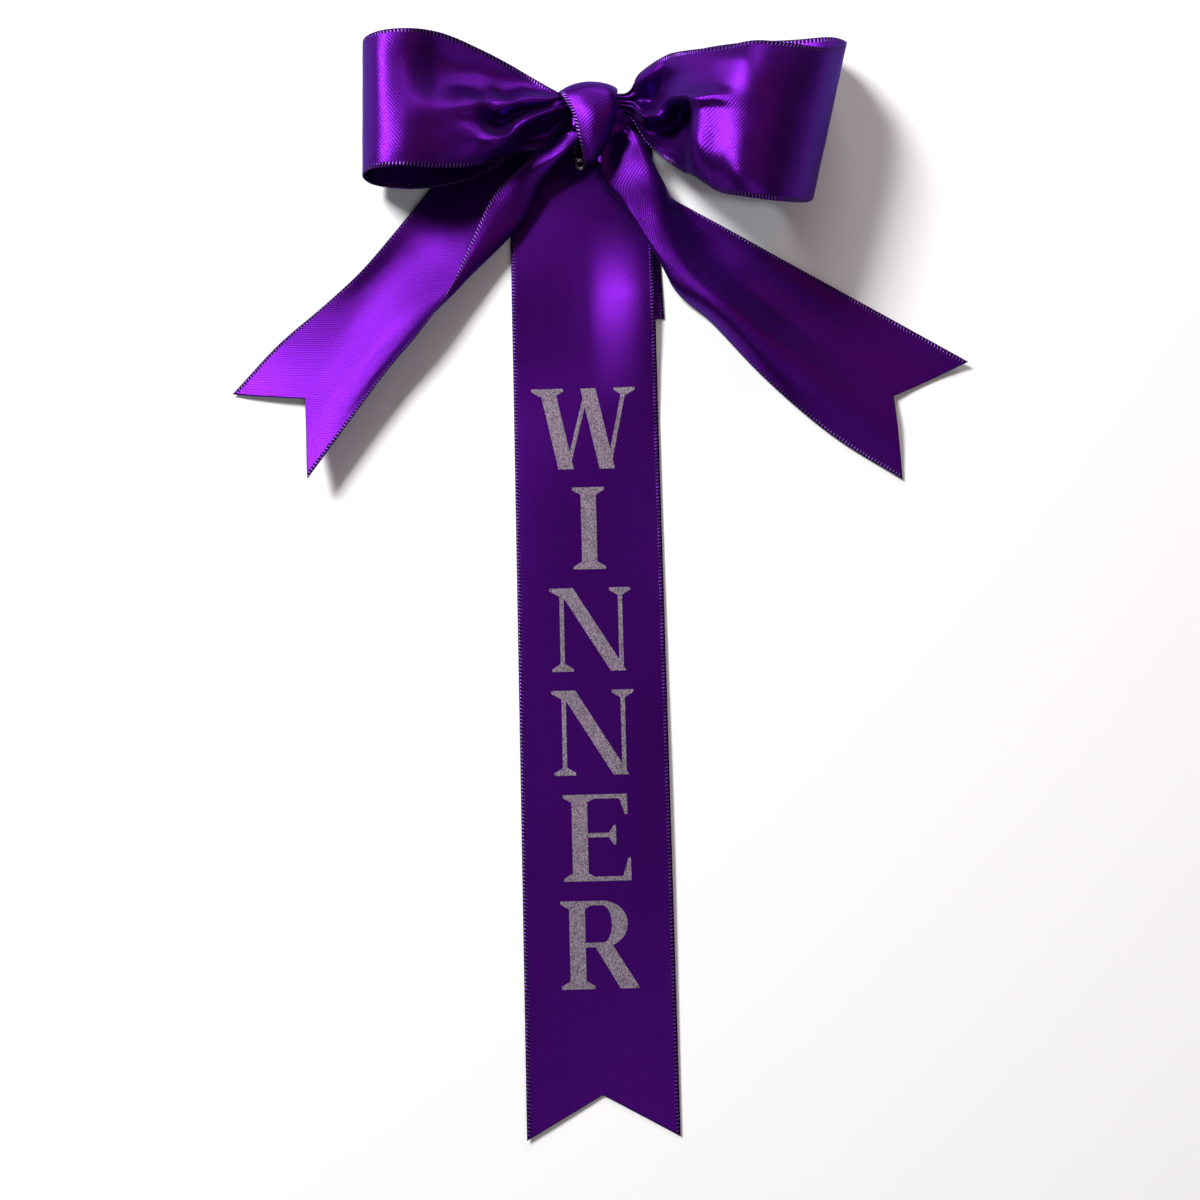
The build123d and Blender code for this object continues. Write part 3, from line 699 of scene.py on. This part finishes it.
def wired(tree, kind, inputs=(), **values):
    """A node with its inputs set to numbers or linked from sockets."""
    made = node(tree, kind, **values)
    for slot, value in enumerate(inputs):
        if value is None:
            continue
        if isinstance(value, bpy.types.NodeSocket):
            tree.links.new(value, made.inputs[slot])
        else:
            made.inputs[slot].default_value = value
    return made


def maths(tree, operation, *inputs):
    return wired(tree, "ShaderNodeMath", inputs, operation=operation).outputs[0]


def add(tree, a, b):
    return maths(tree, "ADD", a, b)


def times(tree, a, b):
    return maths(tree, "MULTIPLY", a, b)


def mix(tree, share, first, second):
    """The first colour where share is 0 and the second where it is 1."""
    made = wired(tree, "ShaderNodeMix", data_type="RGBA", blend_type="MIX")
    tree.links.new(share, made.inputs[0])
    for slot, colour in ((6, first), (7, second)):
        if isinstance(colour, bpy.types.NodeSocket):
            tree.links.new(colour, made.inputs[slot])
        else:
            made.inputs[slot].default_value = colour
    return made.outputs[2]


def bump(tree, shader, height, strength, distance):
    made = node(tree, "ShaderNodeBump")
    made.inputs["Strength"].default_value = strength
    made.inputs["Distance"].default_value = distance
    tree.links.new(height, made.inputs["Height"])
    tree.links.new(made.outputs[0], shader.inputs["Normal"])


def new_material(name):
    material = bpy.data.materials.new(name)
    material.use_nodes = True
    tree = material.node_tree
    return material, tree, tree.nodes["Principled BSDF"]


def finish_shader(shader, values):
    for name, value in values.items():
        shader.inputs[name].default_value = value


SELVEDGE = 1.15  # width of the stitched edge
SELVEDGE_RAMP = 0.15  # over this the weave gives way to it


def satin():
    material, tree, shader = new_material("violet_satin")
    cloth = node(tree, "ShaderNodeAttribute", attribute_name="cloth").outputs["Vector"]
    split = wired(tree, "ShaderNodeSeparateXYZ", [cloth])
    along, across = split.outputs[0], split.outputs[1]
    # weave: fine diagonal floats of the weft
    float_line = maths(tree, "SINE", add(tree, times(tree, along, 7.3), times(tree, across, 5.6)))
    thread = maths(tree, "SINE", times(tree, across, 26.0))
    grain = wired(tree, "ShaderNodeTexNoise", [cloth, None, 3.2, 3.0, 0.6]).outputs[0]
    weave = add(tree, times(tree, float_line, grain), times(tree, thread, 0.3))
    weave = add(tree, weave, times(tree, grain, 0.5))
    # selvedge: a bead with cross stitches
    edge = maths(tree, "ABSOLUTE", across)
    ramp = [RIBBON / 2 - SELVEDGE, RIBBON / 2 - SELVEDGE + SELVEDGE_RAMP, 0.0, 1.0]
    inside = wired(tree, "ShaderNodeMapRange", [edge, *ramp]).outputs[0]
    stitch = maths(tree, "SINE", add(tree, times(tree, along, 6.8), times(tree, edge, 1.5)))
    # colour: the satin varies a little along its length, and the stitches get a painted highlight on
    # their crests and painted shade between them
    patch = wired(tree, "ShaderNodeTexNoise", [cloth, None, 0.05, 2.0, 0.5]).outputs[0]
    tint = mix(tree, patch, (0.056, 0.0030, 0.155, 1), (0.070, 0.0038, 0.188, 1))
    # painted highlight on the stitch crests, painted shade in the troughs between them
    stitch_crest_mask = maths(tree, "GREATER_THAN", stitch, 0.1)
    stitch_highlight_and_shade = mix(tree, stitch_crest_mask, (0.006, 0.0002, 0.016, 1), (0.12, 0.034, 0.27, 1))
    shade = mix(tree, inside, tint, stitch_highlight_and_shade)
    tone = wired(tree, "ShaderNodeMapRange", [weave, -0.5, 1.1, 0.66, 1.42]).outputs[0]
    woven = wired(tree, "ShaderNodeVectorMath", [shade, None, None, tone], operation="SCALE")
    tree.links.new(woven.outputs[0], shader.inputs["Base Color"])
    rough = wired(tree, "ShaderNodeMapRange", [grain, 0.3, 0.7, 0.26, 0.36])
    tree.links.new(rough.outputs[0], shader.inputs["Roughness"])
    relief = add(tree, weave, times(tree, times(tree, inside, stitch), 3.0))
    bump(tree, shader, relief, 0.42, 0.00005)
    tangent = node(tree, "ShaderNodeTangent", direction_type="UV_MAP", uv_map="Flat")
    tree.links.new(tangent.outputs[0], shader.inputs["Tangent"])
    finish_shader(shader, {
        "Metallic": 0.86,
        "Anisotropic": 0.55,
        "Specular IOR Level": 0.5,
        "Specular Tint": (0.34, 0.16, 0.60, 1),
        "Sheen Weight": 0.05,
        "Sheen Roughness": 0.4,
        "Sheen Tint": (0.6, 0.3, 1.0, 1),
    })
    return material


def glitter():
    material, tree, shader = new_material("glitter_vinyl")
    where = node(tree, "ShaderNodeTexCoord").outputs["Object"]
    flakes = wired(tree, "ShaderNodeTexVoronoi", [where, None, 4200.0]).outputs["Color"]
    ramp = wired(tree, "ShaderNodeValToRGB", [flakes])
    dark, light = ramp.color_ramp.elements
    dark.position, dark.color = 0.15, (0.10, 0.07, 0.11, 1)
    light.position, light.color = 0.9, (0.42, 0.34, 0.43, 1)
    tree.links.new(ramp.outputs[0], shader.inputs["Base Color"])
    bump(tree, shader, flakes, 0.6, 0.0001)
    finish_shader(shader, {"Metallic": 0.6, "Roughness": 0.42})
    return material


def steel():
    material, tree, shader = new_material("pin_steel")
    where = node(tree, "ShaderNodeTexCoord").outputs["Object"]
    streak = wired(tree, "ShaderNodeTexNoise", [where, None, 900.0, 2.0, 0.5]).outputs[0]
    rough = wired(tree, "ShaderNodeMapRange", [streak, 0.3, 0.7, 0.22, 0.36])
    tree.links.new(rough.outputs[0], shader.inputs["Roughness"])
    finish_shader(shader, {"Base Color": (0.40, 0.39, 0.38, 1), "Metallic": 1.0})
    return material


def floor_white():
    material, _, shader = new_material("floor_white")
    finish_shader(shader, {"Base Color": (0.9, 0.9, 0.9, 1), "Roughness": 0.9})
    return material


def dress(thing, material):
    thing.data.materials.clear()
    thing.data.materials.append(material)


# --- put it together ---
SATIN, GLITTER, STEEL = satin(), glitter(), steel()

left_loop, left_length = make_stretch("left_loop_satin", LEFT_LOOP, 340)
right_loop, right_length = make_stretch("right_loop_satin", RIGHT_LOOP, 360)
left_tail, left_tail_length = make_stretch("left_tail_satin", LEFT_TAIL, 240, LEFT_NOTCH)
right_tail, right_tail_length = make_stretch("right_tail_satin", RIGHT_TAIL, 260, RIGHT_NOTCH)
knot_wrap, wrap_length = make_knot_wrap()
knot_core = make_knot_core()
streamer = make_streamer()
streamer_fold = make_streamer_fold()

bow = (left_loop, right_loop, left_tail, right_tail, knot_wrap, knot_core)
for piece in (*bow, streamer, streamer_fold):
    dress(piece, SATIN)
for name, thing in frame["nodes"].items():
    if name.startswith("letter_"):
        copy = drape(name, thing)
        dress(copy, GLITTER)
        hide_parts(name)
        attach(copy, "streamer_end")
    if name.startswith("pin_"):
        dress(thing, STEEL)

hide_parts("left_loop")
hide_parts("right_loop")
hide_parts("left_tail")
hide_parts("right_tail")
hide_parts("knot_wrap")
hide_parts("knot_core")
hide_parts("streamer_front", "streamer_lower")
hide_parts("streamer_fold")

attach(knot_wrap, "bow_knot")
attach(knot_core, "bow_knot")
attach(streamer_fold, "streamer_top")
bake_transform(left_loop)
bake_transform(right_loop)
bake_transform(left_tail)
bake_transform(right_tail)
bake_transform(streamer)


# --- floor, lights and camera ---
FLOOR_HALF = 3.0  # metres
FLOOR_DROP = 0.2  # keeps the floor clear of the satin that lies on it


def add_floor():
    outline = [(-1, -1), (1, -1), (1, 1), (-1, 1)]
    mesh = bpy.data.meshes.new("floor")
    spots = [(x * FLOOR_HALF, y * FLOOR_HALF, -FLOOR_DROP * MM) for x, y in outline]
    mesh.from_pydata(spots, [], [(0, 1, 2, 3)])
    floor = bpy.data.objects.new("floor", mesh)
    bpy.context.scene.collection.objects.link(floor)
    dress(floor, floor_white())


def add_area(name, place, target, size, power, colour=(1, 1, 1)):
    data = bpy.data.lights.new(name, "AREA")
    data.shape = "RECTANGLE"
    data.size, data.size_y = size
    data.energy = power
    data.color = colour
    lamp = bpy.data.objects.new(name, data)
    bpy.context.scene.collection.objects.link(lamp)
    lamp.location = place
    way = np.array(target) - np.array(place)
    lamp.rotation_euler = Vector(way).to_track_quat("-Z", "Y").to_euler()


def add_camera():
    """Above the ribbon and a little towards its foot, as a person standing at a table sees it."""
    distance, tilt = 0.34, math.radians(6.6)
    frames_per_metre = 3842.0 / 1200  # how often the picture's width goes into a metre of table
    data = bpy.data.cameras.new("camera")
    data.sensor_width = 36.0
    data.lens = data.sensor_width * frames_per_metre * distance
    camera = bpy.data.objects.new("camera", data)
    bpy.context.scene.collection.objects.link(camera)
    aim = np.array([0.0, -0.1259, 0.0])
    camera.location = aim + distance * np.array([0, -math.sin(tilt), math.cos(tilt)])
    camera.rotation_euler = (tilt, 0, 0)
    bpy.context.scene.camera = camera


add_floor()
middle = (0.0, -0.06, 0.0)
add_area("key", (-0.74, 0.52, 0.90), middle, (0.38, 0.38), 24)
add_area("top", (0.10, 1.05, 0.62), middle, (0.5, 0.3), 4)
add_area("fill", (0.35, -0.9, 1.1), middle, (0.8, 0.8), 3)
add_area("warm_side", (0.55, 0.40, 1.0), middle, (0.5, 0.5), 0.8, (1.0, 0.22, 0.32))
world = bpy.data.worlds.new("studio")
world.use_nodes = True
world.node_tree.nodes["Background"].inputs[0].default_value = (1, 1, 1, 1)
world.node_tree.nodes["Background"].inputs[1].default_value = 0.08
bpy.context.scene.world = world
bpy.context.scene.view_settings.view_transform = "Standard"
add_camera()
